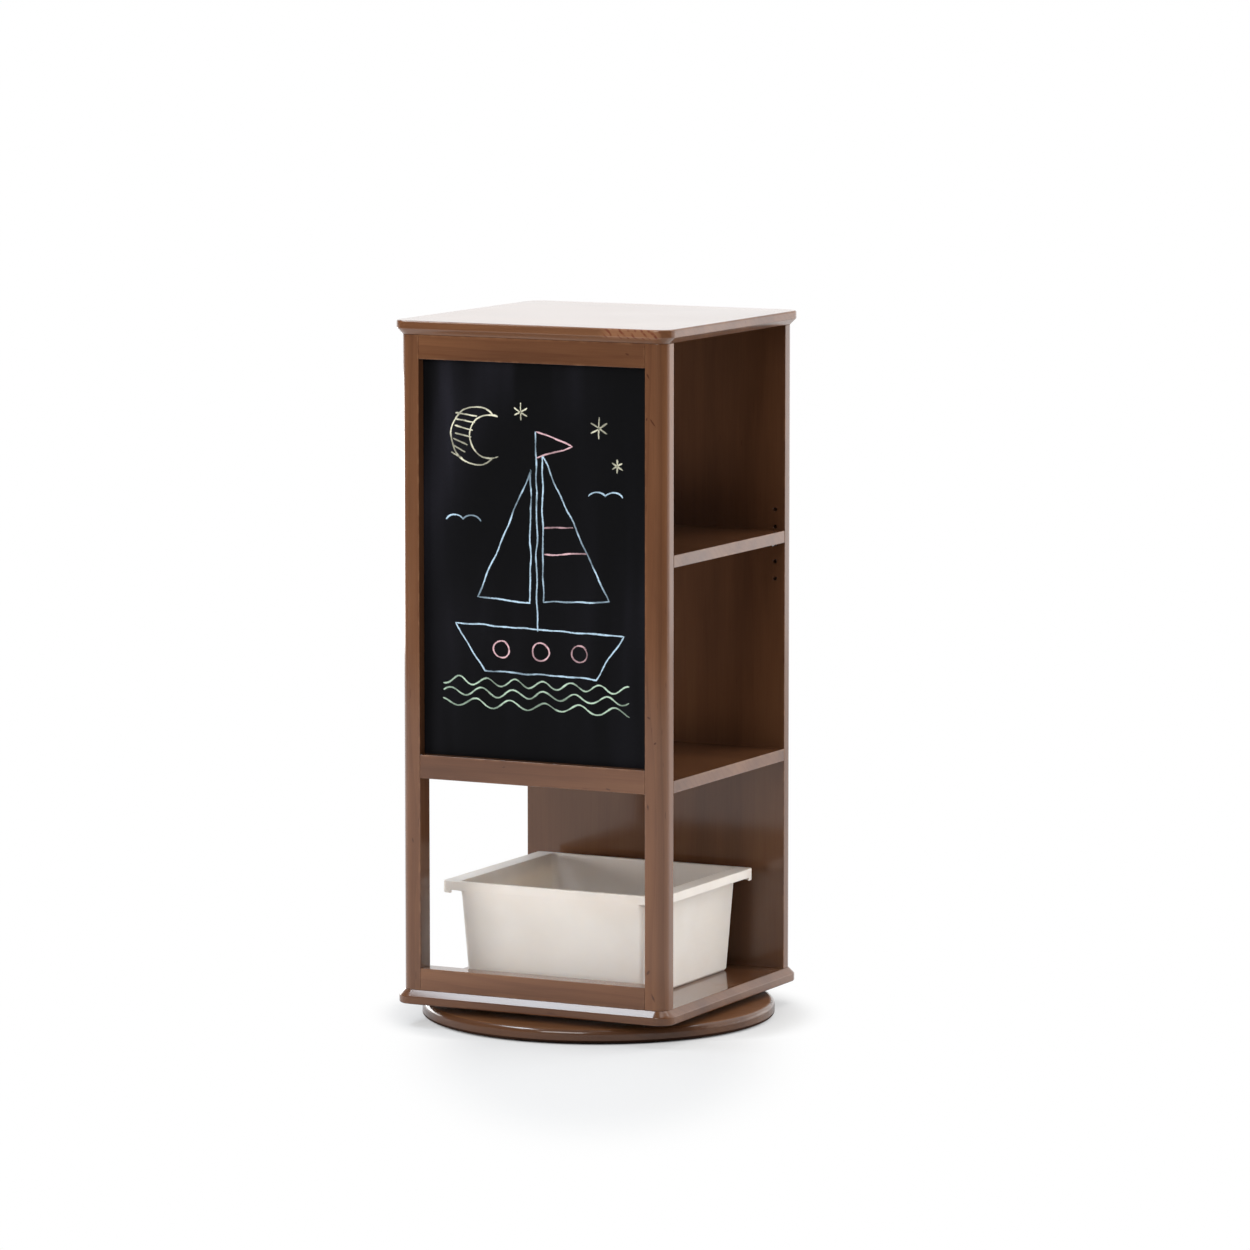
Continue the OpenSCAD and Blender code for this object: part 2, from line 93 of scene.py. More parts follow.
def srgb(red, green, blue):
    """A colour given as it looks on a screen, 0 to 255, as linear RGBA."""
    def linear(value):
        share = value / 255
        return share / 12.92 if share <= 0.04045 else ((share + 0.055) / 1.055) ** 2.4
    return (linear(red), linear(green), linear(blue), 1.0)


def scaled(colour, share):
    """The same colour, with a share of its brightness."""
    return tuple(share * channel for channel in colour[:3]) + (1.0,)


def grey(value):
    return (value, value, value, 1.0)


# Tools for building materials

# Most values of a noise lie in this range
NOISE_RANGE = (0.3, 0.7)


class Nodes:
    """The node tree of a material or world. Its methods add nodes and return an output."""

    def __init__(self, owner):
        owner.use_nodes = True
        self.nodes = owner.node_tree.nodes
        self.links = owner.node_tree.links

    def put(self, socket, value):
        """Links an output to a socket, or sets the socket to a plain value."""
        if isinstance(value, bpy.types.NodeSocket):
            self.links.new(value, socket)
        else:
            socket.default_value = value

    def add(self, kind, inputs, output=0, **settings):
        node = self.nodes.new("ShaderNode" + kind)
        for name, value in settings.items():
            setattr(node, name, value)
        for key, value in inputs.items():
            self.put(node.inputs[key], value)
        return node.outputs[output]

    def place(self):
        """Object coordinates: metres in the frame of the part."""
        return self.add("TexCoord", {}, "Object")

    def axis(self, vector, letter):
        return self.add("SeparateXYZ", {"Vector": vector}, letter)

    def stretch(self, vector, scale):
        return self.add("Mapping", {"Vector": vector, "Scale": scale})

    def vector(self, operation, a, b=(0.0, 0.0, 0.0)):
        return self.add("VectorMath", {0: a, 1: b}, operation=operation)

    def length(self, vector):
        return self.add("VectorMath", {0: vector}, "Value", operation="LENGTH")

    def ellipsoid(self, vector, middle, turn, size):
        """The distance from the middle of a turned ellipsoid, which is 1 on its surface."""
        inputs = {"Vector": vector, "Location": middle, "Rotation": turn, "Scale": size}
        return self.length(self.add("Mapping", inputs, vector_type="TEXTURE"))

    def math(self, operation, a, b=0.0):
        return self.add("Math", {0: a, 1: b}, operation=operation)

    def plus(self, a, b):
        return self.math("ADD", a, b)

    def times(self, first, *others):
        product = first
        for other in others:
            product = self.math("MULTIPLY", product, other)
        return product

    def noise(self, vector, scale, detail=3.0, roughness=0.5):
        """Noise about 0.5. The scale is in waves to a metre, one number or one for each axis."""
        if isinstance(scale, tuple):
            vector, scale = self.stretch(vector, scale), 1.0
        inputs = {"Vector": vector, "Scale": scale, "Detail": detail, "Roughness": roughness}
        return self.add("TexNoise", inputs)

    def span(self, value, low, high, to_low=0.0, to_high=1.0):
        """Maps a value smoothly from one range to another, and holds it at the ends."""
        inputs = {"Value": value, "From Min": low, "From Max": high,
                  "To Min": to_low, "To Max": to_high}
        return self.add("MapRange", inputs, interpolation_type="SMOOTHSTEP")

    def number(self, factor, a, b):
        """Mixes two numbers."""
        return self.add("Mix", {0: factor, 2: a, 3: b}, 0, data_type="FLOAT")

    def blend(self, factor, a, b):
        """Mixes two colours."""
        return self.add("Mix", {0: factor, 6: a, 7: b}, 2, data_type="RGBA")

    def lay(self, under, mask, colour, share):
        """Lays a share of a colour over another where the mask is 1."""
        return self.blend(self.times(mask, share), under, colour)

    def ramp(self, factor, stops):
        node = self.nodes.new("ShaderNodeValToRGB")
        self.put(node.inputs["Fac"], factor)
        elements = node.color_ramp.elements
        while len(elements) < len(stops):
            elements.new(0.5)
        for element, (position, colour) in zip(elements, stops):
            element.position = position
            element.color = colour
        return node.outputs["Color"]

    def bump(self, height, distance, strength):
        inputs = {"Height": height, "Distance": distance, "Strength": strength}
        return self.add("Bump", inputs, "Normal")


class Look(Nodes):
    """A material in the making, with its surface shader."""

    def __init__(self, name, sockets):
        self.material = bpy.data.materials.new(name)
        super().__init__(self.material)
        self.shader = self.nodes["Principled BSDF"]
        self.set(sockets)

    def set(self, sockets):
        """Sets or links sockets of the surface shader."""
        for name, value in sockets.items():
            self.put(self.shader.inputs[name], value)


# Lacquered wood

# The stain's tones, from the dark end of the shade to the light one
WOOD_LIGHT = srgb(123, 82, 53)
WOOD_TONES = [(0.28, srgb(84, 51, 31)), (0.5, srgb(107, 69, 44)), (0.72, WOOD_LIGHT)]
WOOD_RING = srgb(70, 36, 20)
# Colours laid over the stain, each with the share of it that shows
WOOD_KNOT = (srgb(58, 28, 14), 0.75)
# Rubbed edges, lighter partly from wear and partly as a painted highlight
WOOD_WORN_AND_HIGHLIGHT = (srgb(148, 105, 74), 0.35)
# Painted shade, laid on undersides and on the disc's lower edge
WOOD_UNDERSIDE_SHADE = (srgb(36, 20, 12), 0.85)
# Painted light, which lightens the shaded top of the disc
DISC_TOP_PAINTED_LIGHT = (WOOD_LIGHT, 0.7)
# From glossy to dull, over this range of fibre and smears together
WOOD_ROUGHNESS = (0.36, 0.52)
DULL_RANGE = (0.7, 1.3)

# Scales of the noises, along the grain and across it
DRIFT_SCALE = (1.6, 9.0)
FIBRE_SCALE = (18.0, 900.0)
TONE_SCALE = (2.0, 14.0)
DASH_SCALE = (28.0, 190.0)
# Scales of the noises that have no direction
EDGE_BREAK_SCALE = 55.0
SMEAR_SCALE = 7.0
RIPPLE_SCALE = 40.0

# Each piece is cut from another place in the same wood, this far from the one before
CUT_STEP = (0.37, 0.53, 0.71)
# The fibre's share in the shade of the stain
FIBRE_SHARE = 0.2
# Growth rings: the wave's period at scale 1, their spacing, how far they wander, their scales
# along the grain and across it, and the part of each ring that is dark
WAVE_PERIOD = 0.314
RING_SPACING = 0.01
RING_DRIFT = 0.03
RING_STRETCH = (0.03, 1.0)
RING_LEVELS = (0.55, 1.0)
# Short dark dashes in the grain
DASH_LEVELS = (0.74, 0.8)
DASH_SHARE = 0.55
# Rubbed edges, lighter partly from wear and partly as a painted highlight: their width, and
# the levels of noise at which they are rubbed
EDGE_WEAR_AND_HIGHLIGHT_WIDTH = 0.0035
EDGE_WEAR_AND_HIGHLIGHT_LEVELS = (0.42, 0.7)


def with_grain(grain, along, across):
    """A number for each axis: one along the grain, another across it."""
    return tuple(along if letter == grain else across for letter in "XYZ")


def growth_rings(look, own, grain):
    """A wave that rises from 0 to 1 through each growth ring."""
    drift = look.noise(own, with_grain(grain, *DRIFT_SCALE), detail=2.0)
    push = look.times(drift, RING_DRIFT)
    wandering = look.vector("ADD", own, look.add("CombineXYZ", dict.fromkeys("XYZ", push)))
    return look.add("TexWave", {
        "Vector": look.stretch(wandering, with_grain(grain, *RING_STRETCH)),
        "Scale": WAVE_PERIOD / RING_SPACING, "Distortion": 2.5, "Detail": 2.0, "Detail Scale": 1.2,
    }, "Fac", wave_type="RINGS", rings_direction=grain, wave_profile="SAW")


def edge_distance(look, place, node):
    """How far a point on a box-shaped node lies from the box's nearest edge."""
    low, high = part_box(node)
    from_centre = look.vector("SUBTRACT", place, tuple((low + high) / 2))
    gap = look.vector("SUBTRACT", tuple((high - low) / 2), look.vector("ABSOLUTE", from_centre))
    x, y, z = (look.axis(gap, letter) for letter in "XYZ")
    smaller = look.math("MINIMUM", x, y)
    larger = look.math("MAXIMUM", x, y)
    return look.math("MAXIMUM", smaller, look.math("MINIMUM", larger, z))


def worn_and_highlit_edges(look, place, own, node):
    """1 where the edges of a piece are rubbed and carry a painted highlight, else 0."""
    near = look.span(edge_distance(look, place, node), EDGE_WEAR_AND_HIGHLIGHT_WIDTH, 0.0)
    return look.times(near, look.span(look.noise(own, EDGE_BREAK_SCALE), *EDGE_WEAR_AND_HIGHLIGHT_LEVELS))


# Small dark knots and dents in the front frame: x, z, length, width, and lean in degrees
KNOTS = {
    "front_right_stile": [
        (0.168, 0.866, 0.011, 0.0035, 62), (0.166, 0.811, 0.007, 0.003, -70),
        (0.1745, 0.807, 0.018, 0.003, 52), (0.1692, 0.428, 0.007, 0.004, 30),
        (0.1782, 0.3955, 0.006, 0.0035, -35), (0.168, 0.3124, 0.012, 0.004, 80),
        (0.1684, 0.0975, 0.010, 0.005, -55), (0.1756, 0.0655, 0.015, 0.004, 65),
    ],
    "front_left_stile": [(-0.1745, 0.246, 0.009, 0.003, 75)],
    "front_middle_rail": [(0.111, 0.332, 0.009, 0.003, 8), (-0.04, 0.351, 0.007, 0.0025, -12)],
    "front_top_rail": [(0.1385, 0.893, 0.008, 0.003, 15)],
}
# A knot's reach through the wood, where it fades out and is whole, and how ragged its side is
KNOT_DEPTH = 1000.0
KNOT_SIDE = (0.62, 0.3)
KNOT_RAGGED = 0.3
KNOT_RAGGED_SCALE = 420.0


def knots(look, place, own, spots):
    """1 inside small ragged ellipses, which go right through the piece, else 0."""
    ragged = look.times(look.noise(own, KNOT_RAGGED_SCALE, detail=2.0), KNOT_RAGGED)
    mask = 0.0
    for x, z, length, width, lean in spots:
        reach = look.ellipsoid(place, (x, 0.0, z), (0.0, math.radians(lean), 0.0),
                               (length, KNOT_DEPTH, width))
        mask = look.math("MAXIMUM", mask, look.span(look.plus(reach, ragged), *KNOT_SIDE))
    return mask


# Where slanted growth rings come out on the top board: how far behind its front they fade, and
# where along X they begin and are whole
SHORT_GRAIN_FRONT = (0.004, 0.001)
SHORT_GRAIN_RIGHT = (0.098, 0.118)
# Their pitch, how far they wander, the part of the wave that is dark, and where it is broken
SHORT_GRAIN_PITCH = 0.0105
SHORT_GRAIN_DRIFT = 0.012
SHORT_GRAIN_DRIFT_SCALE = 60.0
SHORT_GRAIN_DARK = (0.1, 0.8)
SHORT_GRAIN_BROKEN = (0.35, 0.6)
SHORT_GRAIN_BROKEN_SCALE = 130.0
# Their colours, each with the share of it that shows
SHORT_GRAIN_LIGHT = (srgb(146, 101, 72), 0.6)
SHORT_GRAIN_RED = (srgb(96, 40, 22), 0.8)


def short_grain(look, place, own, colour):
    """Slanted growth rings that come out on the board's front lip, near its right corner."""
    x, y, z = (look.axis(place, letter) for letter in "XYZ")
    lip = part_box("top_board")[0].y
    front = look.span(y, *(lip + behind for behind in SHORT_GRAIN_FRONT))
    here = look.times(front, look.span(x, *SHORT_GRAIN_RIGHT))
    drift = look.times(look.noise(own, SHORT_GRAIN_DRIFT_SCALE), SHORT_GRAIN_DRIFT)
    slant = look.plus(look.plus(x, z), drift)
    rings = look.math("SINE", look.times(slant, 2 * math.pi / SHORT_GRAIN_PITCH))
    whole = look.span(look.noise(own, SHORT_GRAIN_BROKEN_SCALE), *SHORT_GRAIN_BROKEN)
    stroke = look.times(look.span(rings, *SHORT_GRAIN_DARK), whole)
    colour = look.lay(colour, here, *SHORT_GRAIN_LIGHT)
    return look.lay(colour, look.times(here, stroke), *SHORT_GRAIN_RED)


# Undersides are stained but not lacquered, and darkened with painted shade that on the disc
# reaches up its round lower edge as a painted contact shadow: how far up from the lowest point
BARE_AND_SHADED_UNDERSIDES = {"base_disc": 0.0036, "bottom_board": 0.0004, "top_board": 0.0002}
UNDERSIDE_FADE = 0.0003
BARE_ROUGHNESS = 0.8
# The top of the disc, under the carcass, is only wiped with a thin coat, and lightened with
# painted light for the shade it lies in: how far below the highest point that begins and is whole
THIN_COAT_AND_PAINTED_LIGHT_TOP = (0.0007, 0.0004)
THIN_COAT = 0.25


def wood(node, grain, rings_seen, brightness, seed):
    """Brown stained pine under a satin lacquer, with its grain along one axis."""
    look = Look("lacquered_" + node, {
        "Coat Weight": 1.0, "Coat Roughness": 0.12, "Coat IOR": 1.5, "Specular IOR Level": 0.12,
    })
    place = look.place()
    low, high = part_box(node)
    centre = (low + high) / 2
    own = look.vector("ADD", place, tuple(seed * step - c for step, c in zip(CUT_STEP, centre)))

    rings = growth_rings(look, own, grain)
    fibre = look.noise(own, with_grain(grain, *FIBRE_SCALE), detail=4.0, roughness=0.6)
    tone = look.noise(own, with_grain(grain, *TONE_SCALE))
    dash = look.noise(own, with_grain(grain, *DASH_SCALE), detail=1.0)
    stops = [(at, scaled(stain, brightness)) for at, stain in WOOD_TONES]
    colour = look.ramp(look.number(FIBRE_SHARE, tone, fibre), stops)
    colour = look.lay(colour, look.span(rings, *RING_LEVELS), WOOD_RING, rings_seen)
    colour = look.lay(colour, look.span(dash, *DASH_LEVELS), WOOD_RING, DASH_SHARE)
    # Edges lighter from wear and from a painted highlight
    colour = look.lay(colour, worn_and_highlit_edges(look, place, own, node), *WOOD_WORN_AND_HIGHLIGHT)
    if node in KNOTS:
        colour = look.lay(colour, knots(look, place, own, KNOTS[node]), *WOOD_KNOT)
    if node == "top_board":
        colour = short_grain(look, place, own, colour)

    smear = look.noise(own, SMEAR_SCALE, detail=4.0)
    roughness = look.span(look.plus(fibre, smear), *DULL_RANGE, *WOOD_ROUGHNESS)
    if node in BARE_AND_SHADED_UNDERSIDES:
        level = low.z + BARE_AND_SHADED_UNDERSIDES[node]
        # Painted shade: undersides and the disc's lower edge are darkened, and lose their lacquer
        bare_and_shaded = look.span(look.axis(place, "Z"), level + UNDERSIDE_FADE, level)
        colour = look.lay(colour, bare_and_shaded, *WOOD_UNDERSIDE_SHADE)
        roughness = look.number(bare_and_shaded, roughness, BARE_ROUGHNESS)
        coat = look.number(bare_and_shaded, 1.0, 0.0)
        if node == "base_disc":
            top = look.span(look.axis(place, "Z"), *(high.z - below for below in THIN_COAT_AND_PAINTED_LIGHT_TOP))
            # Painted light: the disc's shaded top is lightened
            colour = look.lay(colour, top, *DISC_TOP_PAINTED_LIGHT)
            coat = look.number(top, coat, THIN_COAT)
        look.set({"Coat Weight": coat})
    ripple = look.noise(own, RIPPLE_SCALE, detail=2.0)
    look.set({
        "Base Color": colour,
        "Roughness": roughness,
        "Normal": look.bump(fibre, distance=0.00025, strength=0.25),
        "Coat Normal": look.bump(ripple, distance=0.0004, strength=0.06),
    })
    return look.material


# Other materials

BEECH_DARK = srgb(176, 140, 98)
BEECH_LIGHT = srgb(206, 172, 128)
BEECH_ROUGHNESS = (0.55, 0.75)
BEECH_SCALE = (40.0, 1400.0)


def beech(node, grain):
    """Unfinished beech, for dowels."""
    look = Look("beech_" + node, {})
    fibre = look.noise(look.place(), with_grain(grain, *BEECH_SCALE), detail=4.0)
    look.set({
        "Base Color": look.ramp(fibre, [(0.35, BEECH_DARK), (0.65, BEECH_LIGHT)]),
        "Roughness": look.span(fibre, *NOISE_RANGE, *BEECH_ROUGHNESS),
        "Normal": look.bump(fibre, distance=0.0002, strength=0.4),
    })
    return look.material


SLATE = srgb(9, 9, 11)
SLATE_ROUGHNESS = (0.46, 0.7)
SLATE_GRAIN_SCALE = 1500.0
# Chalk dust, with the share of it that shows at most, and its share at the foot of the board
DUST = (srgb(84, 82, 98), 0.4)
DUST_LOW = 0.35
# Scale and levels of the wiping strokes, of the clouds and of the specks in the dust
WIPE_SCALE, WIPE_LEVELS = (13.0, 1.0, 1.6), (0.4, 0.75)
CLOUD_SCALE, CLOUD_LEVELS = (3.0, 1.0, 2.0), (0.35, 0.7)
SPECK_SCALE, SPECK_LEVELS = 900.0, (0.2, 0.8)
# Between specks the dust keeps this share
SPECK_LOW = 0.6


def slate():
    """Matte chalkboard paint with wiped chalk dust."""
    look = Look("chalkboard_paint", {"Specular IOR Level": 0.08})
    place = look.place()
    low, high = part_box("chalkboard")
    wipe = look.noise(place, WIPE_SCALE)
    cloud = look.noise(place, CLOUD_SCALE, detail=2.0)
    speck = look.noise(place, SPECK_SCALE, detail=2.0)
    height = look.span(look.axis(place, "Z"), low.z, high.z, DUST_LOW, 1.0)
    dust = look.times(look.span(wipe, *WIPE_LEVELS), look.span(cloud, *CLOUD_LEVELS), height,
                      look.span(speck, *SPECK_LEVELS, SPECK_LOW, 1.0))
    grain = look.noise(place, SLATE_GRAIN_SCALE, detail=2.0)
    look.set({
        "Base Color": look.lay(SLATE, dust, *DUST),
        "Roughness": look.span(dust, 0.0, 1.0, *SLATE_ROUGHNESS),
        "Normal": look.bump(grain, distance=0.0001, strength=0.3),
    })
    return look.material


# Grains of chalk, coarser drags of the stick, and changes in its pressure
CHALK_GRAIN_SCALE = 1100.0
CHALK_DRAG_SCALE = 160.0
CHALK_PRESS_SCALE = 30.0
# What the drags add to the cover, how fast it thins towards the line's sides, and the levels
# at which slate and chalk show alone
CHALK_DRAG = 0.5
CHALK_SIDE = 0.8
CHALK_COVER = (0.28, 0.6)
# The levels of light and full pressure. Where the chalk was pressed lightly, the line keeps
# this share of its colour
CHALK_PRESS = (0.36, 0.6)
CHALK_FAINT = 0.4


def chalk(name, colour):
    """A chalk line: dusty grains that thin out to plain slate at the line's sides."""
    look = Look(name, {"Specular IOR Level": 0.1, "Roughness": 0.95})
    place = look.place()
    across = look.axis(look.add("UVMap", {}, uv_map="line"), "Y")
    side = look.math("ABSOLUTE", look.math("SUBTRACT", across, 0.5))
    grains = look.noise(place, CHALK_GRAIN_SCALE, roughness=0.7)
    drag = look.noise(place, CHALK_DRAG_SCALE, detail=2.0)
    cover = look.plus(grains, look.times(drag, CHALK_DRAG))
    cover = look.math("SUBTRACT", cover, look.times(side, CHALK_SIDE))
    press = look.noise(place, CHALK_PRESS_SCALE, detail=2.0)
    press = look.span(press, *CHALK_PRESS, CHALK_FAINT, 1.0)
    look.set({
        "Base Color": look.lay(SLATE, look.span(cover, *CHALK_COVER), colour, press),
        "Normal": look.bump(grains, distance=0.0003, strength=0.6),
    })
    return look.material


TUB_WHITE = srgb(228, 220, 212)
TUB_SHADE = srgb(221, 212, 203)
TUB_ROUGHNESS = (0.36, 0.48)
TUB_CLOUD_SCALE = 9.0
TUB_TEXTURE_SCALE = 2200.0
# Level scuffs on the walls
SCUFF_SCALE, SCUFF_LEVELS = (30.0, 30.0, 240.0), (0.35, 0.7)


def tub_plastic():
    """Off-white moulded plastic with a fine satin texture."""
    look = Look("tub_plastic", {
        "Specular IOR Level": 0.5, "Subsurface Weight": 0.4, "Subsurface Scale": 0.01,
        "Subsurface Radius": (1.0, 0.85, 0.7),
    })
    place = look.place()
    cloud = look.noise(place, TUB_CLOUD_SCALE)
    fine = look.noise(place, TUB_TEXTURE_SCALE, detail=2.0)
    scuff = look.noise(place, SCUFF_SCALE)
    look.set({
        "Base Color": look.ramp(cloud, [(0.35, TUB_SHADE), (0.6, TUB_WHITE)]),
        "Roughness": look.span(scuff, *SCUFF_LEVELS, *TUB_ROUGHNESS),
        "Normal": look.bump(fine, distance=0.00008, strength=0.5),
    })
    return look.material


# Tarnish: its scale and levels, how dark it is, how much of it shows, and its share in the gloss
TARNISH_SCALE, TARNISH_LEVELS = 60.0, (0.45, 0.8)
TARNISH_DARK = 0.7
TARNISH_SHARE = 0.4
TARNISH_DULL = 0.3


def metal(name, colour, roughness, scratch):
    """Bright metal, tarnished a little, with scratches stretched as its making left them."""
    look = Look(name, {"Metallic": 1.0})
    place = look.place()
    lines = look.noise(place, scratch, detail=4.0)
    tarnish = look.noise(place, TARNISH_SCALE)
    dull = look.number(TARNISH_DULL, lines, tarnish)
    look.set({
        "Base Color": look.lay(colour, look.span(tarnish, *TARNISH_LEVELS),
                               scaled(colour, TARNISH_DARK), TARNISH_SHARE),
        "Roughness": look.span(dull, *NOISE_RANGE, *roughness),
        "Normal": look.bump(lines, distance=0.00005, strength=0.3),
    })
    return look.material


FELT_DARK = srgb(32, 30, 29)
FELT_LIGHT = srgb(62, 59, 56)
FELT_SCALE = 1600.0


def felt():
    """Dark pressed felt."""
    look = Look("felt", {"Roughness": 0.95, "Sheen Weight": 0.4, "Sheen Roughness": 0.5})
    fuzz = look.noise(look.place(), FELT_SCALE, detail=4.0, roughness=0.7)
    look.set({
        "Base Color": look.ramp(fuzz, [(0.3, FELT_DARK), (0.7, FELT_LIGHT)]),
        "Normal": look.bump(fuzz, distance=0.0006, strength=0.8),
    })
    return look.material


NYLON_DARK = srgb(206, 203, 188)
NYLON_LIGHT = srgb(224, 221, 208)
NYLON_ROUGHNESS = (0.35, 0.5)
NYLON_SCALE = 220.0


def nylon():
    """Natural moulded nylon of the ball cage."""
    look = Look("nylon", {"Subsurface Weight": 0.2, "Subsurface Scale": 0.002})
    cloud = look.noise(look.place(), NYLON_SCALE)
    look.set({
        "Base Color": look.ramp(cloud, [(0.35, NYLON_DARK), (0.65, NYLON_LIGHT)]),
        "Roughness": look.span(cloud, *NOISE_RANGE, *NYLON_ROUGHNESS),
        "Normal": look.bump(cloud, distance=0.0001, strength=0.3),
    })
    return look.material


# Which node has which material

# How strongly the growth rings show, on boards and on thin panels
RINGS_BOARD = 0.18
RINGS_PANEL = 0.08
# The direction of the grain, the growth rings, and a brightness that scales the stain's tones.
# Some of these brightnesses are painted light and shade: the bottom board and the back panel
# are darker for the shade near the floor and inside the carcass, and the right stile is
# lighter than the left to match how light falls on them
WOOD_GRAIN = {
    "base_disc": ("X", RINGS_BOARD, 0.64),
    # Darker as painted shade near the floor
    "bottom_board": ("X", RINGS_BOARD, 0.82),
    "top_board": ("X", RINGS_BOARD, 0.95),
    # The left stile darker and the right one lighter, as painted light and shade
    "front_left_stile": ("Z", RINGS_BOARD, 0.93),
    "front_right_stile": ("Z", RINGS_BOARD, 1.06),
    "front_top_rail": ("X", RINGS_BOARD, 1.0),
    "front_middle_rail": ("X", RINGS_BOARD, 1.0),
    "front_bottom_rail": ("X", RINGS_BOARD, 1.0),
    # Darker as painted shade inside the carcass
    "back_panel": ("Z", RINGS_PANEL, 0.72),
    "lower_shelf": ("X", RINGS_BOARD, 0.9),
    "upper_shelf": ("X", RINGS_BOARD, 0.9),
    "chalkboard_backing": ("Z", RINGS_PANEL, 0.7),
}
DOWEL_GRAIN = {"frame_dowels": "X", "shelf_dowels": "Y", "case_dowels": "Z"}
# Colour, roughness where polished and where dull, and scales of the scratches
STEEL = (srgb(198, 200, 204), (0.2, 0.4), (400.0, 400.0, 60.0))
STEEL_NODES = ("outer_ring_screws", "inner_ring_screws", "case_screws", "shelf_pins",
               "bearing_balls")
ALUMINIUM = (srgb(208, 210, 212), (0.28, 0.48), (60.0, 60.0, 1600.0))
ALUMINIUM_NODES = ("bearing_outer_ring", "bearing_inner_ring")


def dress(node, material):
    frame["nodes"][node].material_slots[0].material = material


def dress_all():
    for seed, (node, kind) in enumerate(WOOD_GRAIN.items(), 1):
        dress(node, wood(node, *kind, seed))
    for node, grain in DOWEL_GRAIN.items():
        dress(node, beech(node, grain))
    steel = metal("bright_steel", *STEEL)
    for node in STEEL_NODES:
        dress(node, steel)
    aluminium = metal("turned_aluminium", *ALUMINIUM)
    for node in ALUMINIUM_NODES:
        dress(node, aluminium)
    dress("chalkboard", slate())
    dress("storage_tub", tub_plastic())
    dress("floor_pads", felt())
    dress("ball_cage", nylon())


# Eased edges on the wooden pieces and the tub

EASE_WOOD = 0.0007
EASE_TUB = 0.0009
EASE_SEGMENTS = 2
# The disc has its own round edges, and the backing's edges are hidden
NOT_EASED = ("base_disc", "chalkboard_backing")
# Points this close are one, edges over SHARP are eased, and those under FLAT are none
WELD = 0.000001
SHARP = math.radians(30)
FLAT = math.radians(0.5)


def ease_edges():
    widths = {node: EASE_WOOD for node in WOOD_GRAIN if node not in NOT_EASED}
    widths["storage_tub"] = EASE_TUB
    for node, width in widths.items():
        modifiers = frame["nodes"][node].modifiers
        modifiers.new("weld", "WELD").merge_threshold = WELD
        flat = modifiers.new("flat", "DECIMATE")
        flat.decimate_type = "DISSOLVE"
        flat.angle_limit = FLAT
        bevel = modifiers.new("ease", "BEVEL")
        bevel.width = width
        bevel.segments = EASE_SEGMENTS
        bevel.limit_method = "ANGLE"
        bevel.angle_limit = SHARP
        bevel.use_clamp_overlap = False
        modifiers.new("normals", "WEIGHTED_NORMAL")


# The chalk drawing: a sailing boat under the moon, drawn by a child

BLUE = srgb(184, 210, 228)
YELLOW = srgb(228, 225, 200)
PINK = srgb(222, 182, 188)
GREEN = srgb(186, 210, 188)
DRAWING_SCALE = 1.2
# How far the drawing's origin lies above the middle of the board
DRAWING_LIFT = 0.012
CHALK_STEP = 0.0025


def polyline(corners):
    """Points a short step apart along straight lines between corners."""
    points = []
    for a, b in zip(corners, corners[1:]):
        a, b = Vector(a), Vector(b)
        count = max(2, round((b - a).length / CHALK_STEP))
        points += [a.lerp(b, i / count) for i in range(count)]
    return points + [Vector(corners[-1])]


def arc(centre, radius, start, end, squash=1.0):
    """Points on an arc, angles in degrees, optionally flattened."""
    count = max(6, round(radius * math.radians(abs(end - start)) / CHALK_STEP))
    angles = [math.radians(start + (end - start) * i / count) for i in range(count + 1)]
    return [Vector((centre[0] + radius * math.cos(a), centre[1] + squash * radius * math.sin(a)))
            for a in angles]


def wave(left, right, height, swell, length):
    """Points on a level row of waves."""
    count = round((right - left) / CHALK_STEP)
    xs = [left + (right - left) * i / count for i in range(count + 1)]
    return [Vector((x, height + swell * math.sin(2 * math.pi * x / length))) for x in xs]


def star(x, z, size):
    """Three lines that cross in one point."""
    spokes = [math.radians(turn) for turn in (90, 150, 210)]
    return [polyline([(x - size * math.cos(a), z - size * math.sin(a)),
                      (x + size * math.cos(a), z + size * math.sin(a))]) for a in spokes]


